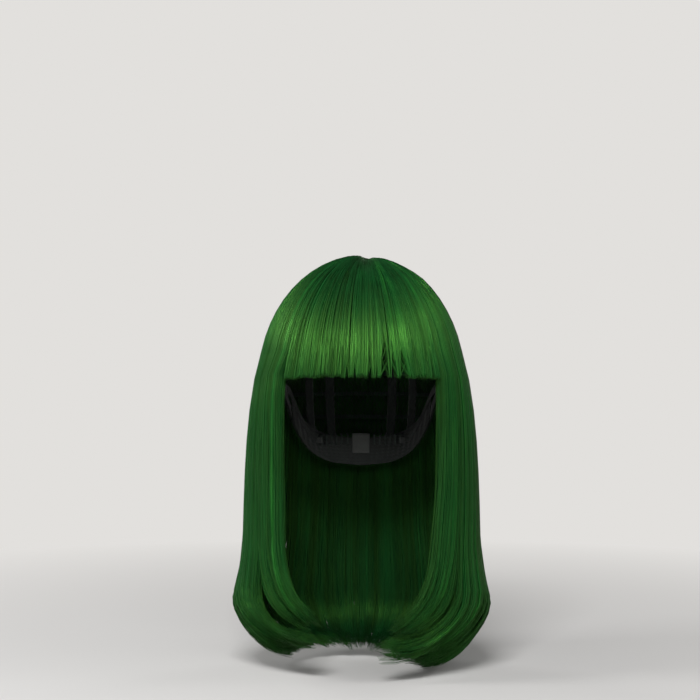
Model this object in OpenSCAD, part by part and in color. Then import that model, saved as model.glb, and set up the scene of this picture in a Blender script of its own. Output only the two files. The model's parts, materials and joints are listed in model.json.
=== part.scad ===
// Long bob costume wig with a straight fringe: a sewn net cap, its wefts,
// nape adjusters and ear tabs, and the hair that falls from it.
// +Z is up, -Y is the front, +X is the wearer's left. The origin is the
// centre of the head cavity, in the plane where a hat size is measured.

/* [Head cavity] */
// Half width of the head cavity
head_w = 74; // [71:0.5:77]
// Half length of the head cavity, front to back
head_l = 92; // [89:0.5:95]
// Height of the head cavity above the hat-size plane
head_h = 96; // [93:0.5:98]
// How fast the cavity closes towards the nape, as a half ellipse's depth
nape_h = 130; // [120:1:145]

/* [Hair outline] */
// Height of the hair's top above the hat-size plane
hair_top = 111; // [109:0.5:116]
// Half width of the hair's dome
hair_w = 88; // [86:0.5:92]
// Reach of the fringe in front of the origin
hair_front = 104; // [103:0.5:108]
// Reach of the back hair behind the origin
hair_back = 111; // [109:0.5:116]
// Thickness of the loose hair
hair_thick = 9; // [7:0.5:10]
// Depth of the centre parting's groove
parting_depth = 3; // [0:0.5:4]

/* [Fringe and ends] */
// Height of the fringe's cut edge
fringe_z = 8; // [0:1:15]
// Height at which the fringe lifts
fringe_hinge_z = 62; // [58:1:66]
// Height at which the side and back hair swing
swing_z = 30; // [26:1:34]
// Depth at which the ends start to turn in
curl_start = 182; // [150:1:200]
// Depth of the turned-in ends
curl_drop = 47; // [40:1:52]
// How far the ends turn in
curl_in = 45; // [30:1:50]
// Half width of the face opening
face_w = 65; // [60:1:68]
// Half width between the front edges where the ends start to turn in
sweep_x = 54; // [48:1:60]
// Distance of the front tips from the middle
tip_x = 38; // [34:1:45]

/* [Cap] */
// Thickness of the net
net_t = 0.6; // [0.5:0.1:0.8]
// Width of the sewn tapes
tape_w = 12; // [8:1:14]
// Width of the front band
front_band_w = 13; // [10:1:16]
// Width of the nape band
nape_band_w = 20; // [18:1:24]
// Height of one weft's bound edge
weft_w = 3; // [2:0.5:4]
// Length of an ear tab
ear_tab_l = 34; // [26:1:38]

/* [Nape adjusters] */
// Height of the adjusters' track
track_z = -50; // [-54:1:-48]
// Height of the hook plate
hook_h = 8; // [6:0.5:9]
// Thickness of the hook plate
hook_t = 1; // [0.8:0.1:1.1]
// Number of loops on each side
loop_count = 6; // [4:1:6]

/* [Hidden] */

hair_colour = "#15602f";
fringe_colour = "#1b6e37";
net_colour = "#20302a";
band_colour = "#1a1f1d";
weft_colour = "#0f3f22";
plastic_colour = "#232323";
label_colour = "#e8e6df";

// Height of the cap's lower edge above the hat-size plane, by azimuth
cap_edge = [
    [0, 56], [20, 53], [40, 40], [55, 24], [65, 14], [75, 9], [90, 6], [100, 4],
    [110, -4], [118, -22], [125, -42], [132, -56], [142, -65], [155, -71], [180, -74]
];
lining_gap = 0.9;
lining_t = 0.8;
tape_gap = 0.4;
tape_t = 0.6;
weft_gap = 2;
weft_t = 1.8;
hair_gap = 4.8;
panel_gap = 1.2;
parting_w = 9;
front_turn = 44;
back_turn = 130;
turn_gap = 0.6;
crown_hole = 86;

// ---- Points on the cap -------------------------------------------------
// u is the azimuth from the front towards +X, e the elevation, off the
// distance outside the head cavity.

function cap_height(e, off) = (e >= 0 ? head_h + off : nape_h + off) * sin(e);
function cap_point(u, e, off) = [
    (head_w + off) * cos(e) * sin(u),
    -(head_l + off) * cos(e) * cos(u),
    cap_height(e, off)
];
function elevation(z) = z >= 0 ? asin(z / head_h) : asin(z / nape_h);
function fold(u) = let (v = abs(u % 360)) v > 180 ? 360 - v : v;
function edge_elevation(u) = elevation(lookup(fold(u), cap_edge));
function steps(from, to, n) = [for (k = [0:n]) from + (to - from) * k / n];
function mix(a, b, k) = a + (b - a) * k;
function smooth(x) = let (k = min(1, max(0, x))) k * k * (3 - 2 * k);

// ---- Closed skins ------------------------------------------------------
// A closed skin between two grids of points. Rows run down, columns turn
// from the front towards +X, and wrap joins the last column to the first.

module skin(outer, inner, wrap = false) {
    rows = len(outer);
    cols = len(outer[0]);
    n = rows * cols;
    last = wrap ? cols - 1 : cols - 2;
    function at(i, j) = i * cols + j % cols;
    function both(a, b, c, d) = [[a, b, c], [a, c, d]];
    walls = [
        for (i = [0:rows - 2], j = [0:last])
            let (a = at(i, j), b = at(i, j + 1), c = at(i + 1, j + 1), d = at(i + 1, j))
            each concat(both(a, b, c, d), both(d + n, c + n, b + n, a + n))
    ];
    ends = [
        for (j = [0:last])
            let (a = at(0, j), b = at(0, j + 1), c = at(rows - 1, j + 1), d = at(rows - 1, j))
            each concat(both(b, a, a + n, b + n), both(d, c, c + n, d + n))
    ];
    sides = wrap ? [] : [
        for (i = [0:rows - 2])
            let (a = at(i, 0), d = at(i + 1, 0), b = at(i, cols - 1), c = at(i + 1, cols - 1))
            each concat(both(a, d, d + n, a + n), both(c, b, b + n, c + n))
    ];
    points = [for (grid = [outer, inner], row = grid, p = row) p];
    polyhedron(points, concat(walls, ends, sides), convexity = 6);
}

// A strip on the cap from azimuth u0 to u1, in n columns. Its top and
// bottom are elevations given by functions of the azimuth.
module cap_strip(u0, u1, n, top, bottom, near, far, wrap = false, rows = 1) {
    turns = wrap ? [for (k = [0:n - 1]) 360 * k / n] : steps(u0, u1, n);
    function row(k, off) = [for (u = turns) cap_point(u, mix(top(u), bottom(u), k), off)];
    skin(
        [for (k = steps(0, 1, rows)) row(k, far)],
        [for (k = steps(0, 1, rows)) row(k, near)],
        wrap
    );
}

function degrees(length) = length / head_h * 180 / PI;

// ---- The cap -----------------------------------------------------------

module crown_net() {
    rows = steps(1, 0, 14);
    function row(k, off) = [
        for (u = [0:7.5:359]) cap_point(u, mix(edge_elevation(u), crown_hole, k), off)
    ];
    color(net_colour) skin([for (k = rows) row(k, net_t)], [for (k = rows) row(k, 0)], true);
}

module lining(u0, u1, n, width, rows = 1) {
    edge = function (u) edge_elevation(u);
    upper = function (u) edge_elevation(u) + degrees(width);
    cap_strip(u0, u1, n, upper, edge, -lining_gap - lining_t, -lining_gap, rows = rows);
}

module front_band() {
    color(band_colour) lining(-62, 62, 20, front_band_w);
}

module side_band_left() {
    color(band_colour) lining(63, 121, 12, 9);
}

module side_band_right() {
    mirror([1, 0, 0]) side_band_left();
}

module nape_band() {
    color(band_colour) lining(122, 238, 24, nape_band_w, 4);
}

// A tape over the cap, along the plane x = 0 or y = 0, from angle a0 to a1
module over_tape(a0, a1, n, width, along_y, near) {
    turns = steps(a0, a1, n);
    sides = along_y ? [width / 2, -width / 2] : [-width / 2, width / 2];
    function point(a, w, off) = let (
        k = sqrt(1 - pow(w / ((along_y ? head_w : head_l) + off), 2)),
        z = (head_h + off) * sin(a) * k
    ) along_y
        ? [w, -(head_l + off) * cos(a) * k, z]
        : [(head_w + off) * cos(a) * k, w, z];
    skin(
        [for (w = sides) [for (a = turns) point(a, w, near + tape_t)]],
        [for (w = sides) [for (a = turns) point(a, w, near)]]
    );
}

module centre_tape() {
    color(band_colour) over_tape(80, 168, 15, tape_w, true, net_t + tape_gap);
}

module cross_tape() {
    color(band_colour) {
        cross_tape_half();
        mirror([1, 0, 0]) cross_tape_half();
    }
}

module cross_tape_half() {
    over_tape(9, 82, 12, tape_w, false, net_t + tape_gap);
}

module nape_tapes() {
    color(band_colour) for (u = [142, 158, 202, 218]) nape_tape(u);
}

module nape_tape(u) {
    half = 3.2;
    rows = steps(36, edge_elevation(u) + 3, 10);
    function row(e, off) = [for (s = [-half, half]) cap_point(u + s, e, off)];
    skin(
        [for (e = rows) row(e, net_t + tape_gap + tape_t)],
        [for (e = rows) row(e, net_t + tape_gap)]
    );
}

// The round patch that closes the crown, under the net
module crown_patch() {
    rings = [88.5, 82, 76];
    function row(e, off) = [for (u = [0:15:345]) cap_point(u, e, off)];
    color(band_colour) skin(
        [for (e = rings) row(e, -lining_gap)],
        [for (e = rings) row(e, -lining_gap - lining_t)],
        true
    );
}

// The skin-coloured strip under the parting, in line with the centre tape
module parting_strip() {
    color("#7a6a58") over_tape(44, 79, 6, parting_w, true, net_t + tape_gap);
}

// ---- Wefts: bound edges that carry the hair -----------------------------

module weft_row(u0, u1, n, rise, wrap = false) {
    upper = function (u) rise(u) + degrees(weft_w);
    cap_strip(u0, u1, n, upper, rise, weft_gap, weft_gap + weft_t, wrap);
}

module front_wefts() {
    color(weft_colour)
        for (up = [2, 8, 14]) weft_row(-50, 50, 18, function (u) edge_elevation(u) + up);
}

module side_wefts_left() {
    color(weft_colour)
        for (up = [3, 12, 21, 30]) weft_row(53, 103, 9, function (u) edge_elevation(u) + up);
}

module side_wefts_right() {
    mirror([1, 0, 0]) side_wefts_left();
}

module crown_wefts() {
    color(weft_colour)
        for (e = [56, 65, 74]) weft_row(0, 360, 44, function (u) e, true);
}

module back_wefts() {
    color(weft_colour)
        for (e = [-14, -5, 4, 13, 22, 31, 40]) {
            reach = e < 0 ? 118 + e * -0.4 : 106;
            weft_row(reach, 360 - reach, 24, function (u) e);
        }
}

module nape_weft() {
    color(weft_colour) weft_row(126, 234, 20, function (u) edge_elevation(u) + 4);
}

// ---- Ear tabs -----------------------------------------------------------

ear_tab_u = 76;
ear_tab_top = 5;

module ear_tongue(half_turn, length, top, near, far) {
    rows = steps(0, 1, 7);
    cols = steps(-1, 1, 4);
    function row(k, off) = [
        for (c = cols) cap_point(
            ear_tab_u + c * half_turn * (0.18 + 0.82 * sqrt(max(0, 1 - pow(k, 3)))),
            elevation(top - length * k),
            off
        )
    ];
    skin([for (k = rows) row(k, far)], [for (k = rows) row(k, near)]);
}

module ear_tab_left() {
    color(band_colour) ear_tongue(8, ear_tab_l, ear_tab_top, -0.5, 0.4);
}

module ear_tab_right() {
    mirror([1, 0, 0]) ear_tab_left();
}

module ear_tab_stay_left() {
    color(plastic_colour) ear_tongue(1.3, ear_tab_l - 8, ear_tab_top - 2, -1.7, -0.9);
}

module ear_tab_stay_right() {
    mirror([1, 0, 0]) ear_tab_stay_left();
}

// ---- Nape adjusters -----------------------------------------------------
// The hooks travel on an arc that osculates the nape band's inner face at
// the height of the hooks' lower edge, where the band curves in the most.

band_face = lining_gap + lining_t + 0.4;
track_low = track_z - hook_h / 2 - 1;
track_cut = sqrt(1 - pow(track_low / (nape_h - band_face), 2));
track_a = (head_w - band_face) * track_cut;
track_b = (head_l - band_face) * track_cut;
track_r = track_a * track_a / track_b - 0.5;
track_y = track_b - track_a * track_a / track_b;
hook_start = 36;
hook_turn = 11;
loop_pitch = 6;
loop_first = 44;
loop_w = 1.6;

module on_track(angle) {
    translate([0, track_y, track_z]) rotate([0, 0, 90 - angle]) children();
}

module adjuster_hook_left() {
    slot = 2;
    color(plastic_colour) difference() {
        on_track(hook_start + hook_turn)
            rotate_extrude(angle = hook_turn, $fn = 180)
                translate([track_r - hook_t, -hook_h / 2]) square([hook_t, hook_h]);
        // the slot that the strap is sewn through
        on_track(hook_start + hook_turn - 2.6)
            translate([track_r - 4, -slot / 2, -hook_h / 2 + 1.2]) cube([8, slot, hook_h - 2.4]);
        // the open throat that catches on a loop
        on_track(hook_start + 3.4)
            translate([track_r - 4, -1.2, -hook_h / 2 - 1]) cube([8, 2.4, hook_h - 1.4]);
    }
}

module adjuster_hook_right() {
    mirror([1, 0, 0]) adjuster_hook_left();
}

// Thread loops over the track, sewn to the nape band above and below it
module hook_loops_left() {
    clear = 0.35;
    wall = 0.8;
    color("#2c3431")
        for (k = [0:loop_count - 1])
            on_track(loop_first - k * loop_pitch)
                difference() {
                    translate([track_r - hook_t - clear - wall, -loop_w / 2, -hook_h / 2 - clear - wall])
                        cube([hook_t + clear + wall + 0.1, loop_w, hook_h + 2 * (clear + wall)]);
                    translate([track_r - hook_t - clear, -loop_w, -hook_h / 2 - clear])
                        cube([hook_t + clear + 1, 2 * loop_w, hook_h + 2 * clear]);
                }
}

module hook_loops_right() {
    mirror([1, 0, 0]) hook_loops_left();
}

// The elastic strap runs from behind the ear along the cap's edge to the hook
strap_u0 = 114;
strap_u1 = 143.3;
strap_z0 = -4;
strap_w = 7;
strap_near = -3.4;
strap_far = -2.6;
strap_dive = 2;

module adjuster_strap_left() {
    turns = steps(0, 1, 10);
    function middle(k) = mix(strap_z0, track_z, smooth(k * 1.1));
    function dive(k) = strap_dive * smooth(k);
    function row(side, off) = [
        for (k = turns)
            cap_point(mix(strap_u0, strap_u1, k), elevation(middle(k) + side), off - dive(k))
    ];
    color("#2a2f2d") skin(
        [for (s = [strap_w / 2, -strap_w / 2]) row(s, strap_far)],
        [for (s = [strap_w / 2, -strap_w / 2]) row(s, strap_near)]
    );
}

module adjuster_strap_right() {
    mirror([1, 0, 0]) adjuster_strap_left();
}

// The folded tab that sews the strap's fixed end to the side band
module strap_anchor_left() {
    turns = steps(strap_u0 - 6, strap_u0 - 0.5, 2);
    function row(side, off) = [for (u = turns) cap_point(u, elevation(strap_z0 + side), off)];
    color(band_colour) skin(
        [for (s = [5, -5]) row(s, strap_far)],
        [for (s = [5, -5]) row(s, strap_near)]
    );
}

module strap_anchor_right() {
    mirror([1, 0, 0]) strap_anchor_left();
}

module blank_label() {
    turns = steps(173, 187, 3);
    function row(z, off) = [for (u = turns) cap_point(u, elevation(z), off)];
    color(label_colour) skin(
        [for (z = [-46, -64]) row(z, strap_far)],
        [for (z = [-46, -64]) row(z, strap_far - 0.4)]
    );
}

// ---- Hair ---------------------------------------------------------------
// The outer skin is an ellipse at each height. Under the swing line it
// flares, and the front runs back beside the face.

function dome(z) = sqrt(1 - pow(z / hair_top, 2));
function below(z) = max(0, swing_z - z);
function side_reach(z) = z > swing_z
    ? hair_w * dome(z)
    : hair_w * dome(swing_z) + 17 * (1 - exp(-below(z) / 55)) + 7 * exp(-pow((z + curl_start) / 26, 2));
function front_reach(z) = z > 0
    ? hair_front * dome(z)
    : mix(hair_front, 84, smooth(-z / 90));
function back_reach(z) = z > swing_z
    ? hair_back * dome(z)
    : hair_back * dome(swing_z) + 2 * smooth(below(z) / 40) - 6 * smooth((below(z) - 50) / 110);

// A point of the hair at turn t and height z, depth d inside the skin
function hair_point(t, z, d) = [
    (side_reach(z) - d) * sin(t),
    -((cos(t) > 0 ? front_reach(z) : back_reach(z)) - d) * cos(t),
    z
];
function groove(p) = parting_depth * exp(-pow(p.x / 7, 2)) * smooth((p.z - 72) / 28)
    * smooth((20 - p.y) / 30);
function dome_point(t, z) = let (p = hair_point(t, z, 0)) p - [0, 0, groove(p)];

// The turned-in ends: a is the angle turned, from 0 to the tip
function end_point(t, a, d) = let (
    z = -curl_start,
    pull = curl_in * (1 - cos(a)) + d * cos(a)
) [
    (side_reach(z) - pull) * sin(t),
    -((cos(t) > 0 ? front_reach(z) : back_reach(z)) - pull) * cos(t),
    z - curl_drop * sin(a) + d * sin(a)
];

// The faces where the loose hair meets the dome are planes through the
// hinge lines, square to the outer skin, so that the hair opens freely.
side_hinge_x = side_reach(swing_z);
back_hinge_y = back_reach(swing_z);
fringe_hinge_y = -front_reach(fringe_hinge_z);
function skin_slope(z, reach) = z * reach * reach / (hair_top * hair_top);
side_fall = skin_slope(swing_z, hair_w) / side_hinge_x;
back_fall = skin_slope(swing_z, hair_back) / back_hinge_y;
fringe_fall = skin_slope(fringe_hinge_z, hair_front) / -fringe_hinge_y;
function side_face(p) = swing_z - side_fall * (side_hinge_x - p.x);
function back_face(p) = swing_z - back_fall * (back_hinge_y - p.y);
function fringe_face(p) = fringe_hinge_z - fringe_fall * (p.y - fringe_hinge_y);

// The height at which a column of the hair crosses one of those planes
function crossing(t, face, column, z, tries = 5) = tries == 0
    ? z
    : crossing(t, face, column, face(column(t, z)), tries - 1);

function inner_dome(t, z) = let (e = asin(min(0.999, z / (head_h + hair_gap))))
    cap_point(t, max(0, e), hair_gap) + [0, 0, z < 0 ? z : 0];

// A section of the dome between turns t0 and t1, down to a hinge plane
module dome_section(t0, t1, cols, rows, face) {
    turns = steps(t0, t1, cols);
    outer_column = function (t, z) hair_point(t, z, 0);
    inner_column = function (t, z) inner_dome(t, z);
    function heights(z, top) = [for (e = steps(crown_hole, asin(z / top), rows)) top * sin(e)];
    lows = [for (t = turns) crossing(t, face, outer_column, swing_z)];
    inner_lows = [for (t = turns) crossing(t, face, inner_column, swing_z)];
    outer = [
        for (i = [0:rows]) [
            for (j = [0:cols]) dome_point(turns[j], heights(lows[j], hair_top)[i])
        ]
    ];
    inner = [
        for (i = [0:rows]) [
            for (j = [0:cols]) inner_dome(turns[j], heights(inner_lows[j], head_h + hair_gap)[i])
        ]
    ];
    skin(outer, inner);
}

module top_hair_left() {
    color(fringe_colour)
        dome_section(0.5, front_turn, 7, 8, function (p) fringe_face(p));
}

module top_hair_right() {
    mirror([1, 0, 0]) top_hair_left();
}

module crown_hair_left() {
    color(hair_colour)
        dome_section(front_turn + turn_gap, back_turn - turn_gap, 10, 9, function (p) side_face(p));
}

module crown_hair_right() {
    mirror([1, 0, 0]) crown_hair_left();
}

module crown_hair_back() {
    color(hair_colour)
        dome_section(back_turn + turn_gap, 360 - back_turn - turn_gap, 12, 9, function (p) back_face(p));
}

module fringe_hair() {
    cols = 12;
    rows = 6;
    turns = steps(-front_turn, front_turn, cols);
    column = function (t, z) hair_point(t, z, 0);
    inner_column = function (t, z) hair_point(t, z, hair_thick - 1);
    face = function (p) fringe_face(p);
    function from(t) = crossing(t, face, column, fringe_hinge_z) - panel_gap;
    function inner_from(t) = crossing(t, face, inner_column, fringe_hinge_z) - panel_gap;
    color(fringe_colour) skin(
        [for (k = steps(0, 1, rows)) [for (t = turns) hair_point(t, mix(from(t), fringe_z, k), 0)]],
        [
            for (k = steps(0, 1, rows)) [
                for (t = turns) hair_point(t, mix(inner_from(t), fringe_z, k), hair_thick - 1 - 3 * k)
            ]
        ]
    );
}

// Where the loose side hair starts beside the face, as a turn: it follows
// the face opening, then sweeps in towards the tips.
sweep_start = 100;
curl_turn = 78;
function face_edge(z) = mix(face_w, sweep_x, smooth((-z - sweep_start) / (curl_start - sweep_start)));
function face_start(z) = mix(
    front_turn + turn_gap,
    asin(face_edge(z) / side_reach(z)),
    smooth((swing_z - z) / 30)
);
tip_reach = side_reach(-curl_start) - curl_in * (1 - cos(curl_turn));
function tip_start(a) = mix(face_start(-curl_start), asin(tip_x / tip_reach), smooth(a / curl_turn));

// Loose hair from a hinge plane to the turned-in tips, between turns t0
// and t1. By the face, its first edge follows the face opening.
module loose_hair(t0, t1, cols, face, by_face) {
    rows = 9;
    curls = 6;
    column = function (t, z) hair_point(t, z, 0);
    inner_column = function (t, z) hair_point(t, z, hair_thick);
    function turn(start, j) = mix(by_face ? start : t0, t1, j / cols);
    function depth(k) = hair_thick + 3 * smooth(k * 3);
    function top(j, col) = crossing(turn(face_start(swing_z), j), face, col, swing_z) - panel_gap;
    function straight(col, inside) = [
        for (k = steps(0, 1, rows)) [
            for (j = [0:cols])
                let (z = mix(top(j, col), -curl_start, k))
                hair_point(turn(face_start(z), j), z, inside * depth(k))
        ]
    ];
    function curled(inside) = [
        for (a = steps(curl_turn / curls, curl_turn, curls - 1)) [
            for (j = [0:cols])
                end_point(turn(tip_start(a), j), a, inside * (depth(1) - 5 * a / curl_turn))
        ]
    ];
    skin(
        concat(straight(column, 0), curled(0)),
        concat(straight(inner_column, 1), curled(1))
    );
}

module side_hair_left() {
    color(hair_colour)
        loose_hair(front_turn, back_turn - turn_gap, 10, function (p) side_face(p), true);
}

module side_hair_right() {
    mirror([1, 0, 0]) side_hair_left();
}

module back_hair() {
    color(hair_colour)
        loose_hair(back_turn + turn_gap, 360 - back_turn - turn_gap, 12, function (p) back_face(p), false);
}

crown_net();
front_band();
side_band_left();
side_band_right();
nape_band();
centre_tape();
cross_tape();
nape_tapes();
crown_patch();
parting_strip();
front_wefts();
side_wefts_left();
side_wefts_right();
crown_wefts();
back_wefts();
nape_weft();
ear_tab_left();
ear_tab_right();
ear_tab_stay_left();
ear_tab_stay_right();
adjuster_strap_left();
adjuster_strap_right();
adjuster_hook_left();
adjuster_hook_right();
strap_anchor_left();
strap_anchor_right();
hook_loops_left();
hook_loops_right();
blank_label();
top_hair_left();
top_hair_right();
crown_hair_left();
crown_hair_right();
crown_hair_back();
fringe_hair();
side_hair_left();
side_hair_right();
back_hair();
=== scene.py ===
import json
import math

import bpy
import numpy as np
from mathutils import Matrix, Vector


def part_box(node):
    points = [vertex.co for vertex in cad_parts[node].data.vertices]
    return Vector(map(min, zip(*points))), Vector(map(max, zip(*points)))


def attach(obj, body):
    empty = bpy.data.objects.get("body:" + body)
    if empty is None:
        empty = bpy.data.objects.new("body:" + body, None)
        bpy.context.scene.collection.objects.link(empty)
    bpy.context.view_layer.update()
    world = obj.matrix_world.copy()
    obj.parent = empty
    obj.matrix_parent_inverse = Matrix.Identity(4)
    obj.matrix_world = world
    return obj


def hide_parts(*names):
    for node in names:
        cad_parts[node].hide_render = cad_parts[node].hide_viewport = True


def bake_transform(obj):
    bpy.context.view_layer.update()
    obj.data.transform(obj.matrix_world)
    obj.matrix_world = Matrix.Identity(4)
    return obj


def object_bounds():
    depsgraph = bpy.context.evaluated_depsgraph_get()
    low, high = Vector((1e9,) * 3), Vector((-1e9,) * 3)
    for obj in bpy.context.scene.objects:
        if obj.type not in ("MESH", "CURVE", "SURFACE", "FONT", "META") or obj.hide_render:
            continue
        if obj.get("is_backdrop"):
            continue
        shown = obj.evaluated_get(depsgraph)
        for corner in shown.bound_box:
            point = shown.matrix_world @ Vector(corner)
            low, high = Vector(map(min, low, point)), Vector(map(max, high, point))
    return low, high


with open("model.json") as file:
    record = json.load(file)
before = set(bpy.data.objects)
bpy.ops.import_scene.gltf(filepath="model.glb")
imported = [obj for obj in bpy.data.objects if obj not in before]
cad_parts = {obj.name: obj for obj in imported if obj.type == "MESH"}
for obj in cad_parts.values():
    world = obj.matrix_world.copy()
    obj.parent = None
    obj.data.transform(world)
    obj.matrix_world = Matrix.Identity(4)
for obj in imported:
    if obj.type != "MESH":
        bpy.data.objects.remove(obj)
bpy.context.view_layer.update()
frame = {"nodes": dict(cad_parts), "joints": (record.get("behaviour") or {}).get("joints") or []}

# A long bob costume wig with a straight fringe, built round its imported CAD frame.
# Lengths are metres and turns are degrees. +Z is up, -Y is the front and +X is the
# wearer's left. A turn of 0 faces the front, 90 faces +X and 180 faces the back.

MM = 0.001
RANDOM = np.random.default_rng(41)

# -- Dimensions, from the frame --

HINGES = {j["name"]: j["pos_m"] for j in frame["joints"]}
SWING_Z = HINGES["side_left_swing"][2]
FRINGE_HINGE_Z = HINGES["fringe_lift"][2]
FRINGE_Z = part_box("fringe_hair")[0].z
TIP_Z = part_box("side_hair_left")[0].z

HAIR_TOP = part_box("crown_hair_left")[1].z + 1.2 * MM
HAIR_HALF_W = HINGES["side_left_swing"][0] / math.sqrt(1 - (SWING_Z / HAIR_TOP) ** 2)
HAIR_BACK = HINGES["back_swing"][1] / math.sqrt(1 - (SWING_Z / HAIR_TOP) ** 2)
HAIR_FRONT = -HINGES["fringe_lift"][1] / math.sqrt(1 - (FRINGE_HINGE_Z / HAIR_TOP) ** 2)
HAIR_THICK = 8 * MM

# The side hair's flare, and the soft bulge where the ends start to turn in
FLARE = 17 * MM
FLARE_FALL = 55 * MM
BULGE = 8.5 * MM
BULGE_FALL = 26 * MM
CURL_Z = TIP_Z + 46 * MM

# Where each panel lies round the head. The side and back hair overlap a little.
FRINGE_TURN = 44.2
SIDE_TURNS = (44.6, 130.5)
BACK_TURNS = (129.5, 230.5)


# -- Small maths --

def mix(a, b, k):
    return a + (b - a) * k


def smooth(x):
    k = np.clip(x, 0, 1)
    return k * k * (3 - 2 * k)


def unit(v):
    return v / np.maximum(np.linalg.norm(v, axis=-1, keepdims=True), 1e-12)


# -- The hair's outline --

def dome_share(z, depth):
    return np.sqrt(np.clip(1 - (z / (HAIR_TOP - depth)) ** 2, 0, 1))


def side_reach(z, depth):
    below = np.maximum(SWING_Z - z, 0)
    flare = FLARE * (1 - np.exp(-below / FLARE_FALL))
    bulge = BULGE * np.exp(-((z - CURL_Z) / BULGE_FALL) ** 2)
    return (HAIR_HALF_W - depth) * dome_share(np.maximum(z, SWING_Z), depth) + flare + bulge


def front_reach(z, depth):
    tuck = (HAIR_FRONT - 84 * MM) * smooth(-z / (90 * MM))
    return (HAIR_FRONT - depth) * dome_share(np.maximum(z, 0), depth) - tuck


def back_reach(z, depth):
    below = np.maximum(SWING_Z - z, 0)
    nape = 2 * MM * smooth(below / (40 * MM)) - 6 * MM * smooth((below - 50 * MM) / (110 * MM))
    return (HAIR_BACK - depth) * dome_share(np.maximum(z, SWING_Z), depth) + nape


def hair_point(turn, z, depth):
    """A point of the hair at a turn and a height, depth inside the skin."""
    a = np.radians(turn)
    reach = np.where(np.cos(a) > 0, front_reach(z, depth), back_reach(z, depth))
    return np.stack([side_reach(z, depth) * np.sin(a), -reach * np.cos(a), z + 0 * a], axis=-1)


# -- Meshes from arrays --

def turned_outward(points, faces):
    """The faces of a closed mesh, all reversed if they enclose a negative volume."""
    volume = 0
    for f in faces:
        for k in range(1, f.shape[1] - 1):
            a, b, c = points[f[:, 0]], points[f[:, k]], points[f[:, k + 1]]
            volume += np.einsum("ij,ij->", a, np.cross(b, c))
    return faces if volume > 0 else [f[:, ::-1] for f in faces]


def mesh_piece(name, points, faces):
    """A mesh object from points and a list of face arrays, each (count, corners)."""
    points = np.asarray(points, float).reshape(-1, 3)
    faces = turned_outward(points, faces)
    mesh = bpy.data.meshes.new(name)
    corners = np.concatenate([f.ravel() for f in faces])
    totals = np.concatenate([np.full(len(f), f.shape[1]) for f in faces])
    starts = np.concatenate([[0], np.cumsum(totals)[:-1]])
    mesh.vertices.add(len(points))
    mesh.vertices.foreach_set("co", np.asarray(points, np.float32).ravel())
    mesh.loops.add(len(corners))
    mesh.loops.foreach_set("vertex_index", corners.astype(np.int32))
    mesh.polygons.add(len(totals))
    mesh.polygons.foreach_set("loop_start", starts.astype(np.int32))
    mesh.polygons.foreach_set("use_smooth", np.full(len(totals), True))
    mesh.update(calc_edges=True)
    mesh.validate()
    piece = bpy.data.objects.new(name, mesh)
    bpy.context.scene.collection.objects.link(piece)
    return piece


def set_tones(piece, tones):
    """Gives the rings of three-sided strands their tones, which the hair's material reads."""
    attribute = piece.data.attributes.new("tone", "FLOAT", "POINT")
    attribute.data.foreach_set("value", np.repeat(tones, 3, axis=1).astype(np.float32).ravel())


def closed_tubes(name, centre, radius, outward, sides=3, flat=1.0):
    """Tubes with closed ends. centre is (tubes, rings, 3), and radius and outward fit it."""
    tubes, rings = centre.shape[:2]
    radius = np.broadcast_to(radius, (tubes, rings))
    tangent = unit(np.gradient(centre, axis=1))
    across = unit(np.cross(tangent, outward))
    lift = np.cross(across, tangent)
    angle = np.arange(sides) * 2 * math.pi / sides + math.pi / 2
    spoke = np.cos(angle)[:, None] * across[:, :, None] * flat
    spoke = spoke + np.sin(angle)[:, None] * lift[:, :, None]
    points = centre[:, :, None] + radius[:, :, None, None] * spoke
    first = np.arange(tubes)[:, None] * rings * sides
    ring = first[:, :, None] + np.arange(rings - 1)[:, None] * sides
    k = np.arange(sides)
    after = (k + 1) % sides
    walls = np.stack([ring + k, ring + k + sides, ring + after + sides, ring + after], -1)
    starts = first + k
    ends = first + (rings - 1) * sides + k[::-1]
    return mesh_piece(name, points, [walls.reshape(-1, 4), starts, ends])


# -- The cap's surface --
# u is the turn from the front, e the elevation and off the distance outside the head cavity.

NET_T = 0.6 * MM
NET_THREAD_R = 0.22 * MM
TAPE_OFF = 1.6 * MM
HEAD_HALF_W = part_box("crown_net")[1].x - NET_T
HEAD_HALF_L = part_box("crown_net")[1].y - NET_T
HEAD_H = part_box("centre_tape")[1].z - TAPE_OFF
NAPE_DEPTH = 130 * MM

# The height of the cap's lower edge, by turn
EDGE_TURNS = (0, 20, 40, 55, 65, 75, 90, 100, 110, 118, 125, 132, 142, 155, 180)
EDGE_MM = (56, 53, 40, 24, 14, 9, 6, 4, -4, -22, -42, -56, -65, -71, -74)

# Distances outside the head cavity, thicknesses and widths of the cloth
LINING_OFF = -1.3 * MM
LINING_T = 0.8 * MM
LINING_FACE = LINING_OFF - LINING_T / 2
TAPE_T = 0.6 * MM
TAPE_MID = 1.3 * MM
TAPE_FACE = TAPE_MID + TAPE_T / 2
TAPE_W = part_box("centre_tape")[1].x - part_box("centre_tape")[0].x
PARTING_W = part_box("parting_strip")[1].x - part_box("parting_strip")[0].x
FRONT_BAND_W = 13 * MM
SIDE_BAND_W = 9 * MM
NAPE_BAND_W = 20 * MM
NAPE_TAPE_TURNS = (142, 158, 202, 218)
NAPE_TAPE_HALF_TURN = 3.2
NAPE_TAPE_TOP = 36
CROWN_PATCH_EDGE = 76
CROWN_PATCH_MIDDLE = 88.4
LABEL_OFF = -2.8 * MM

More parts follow.
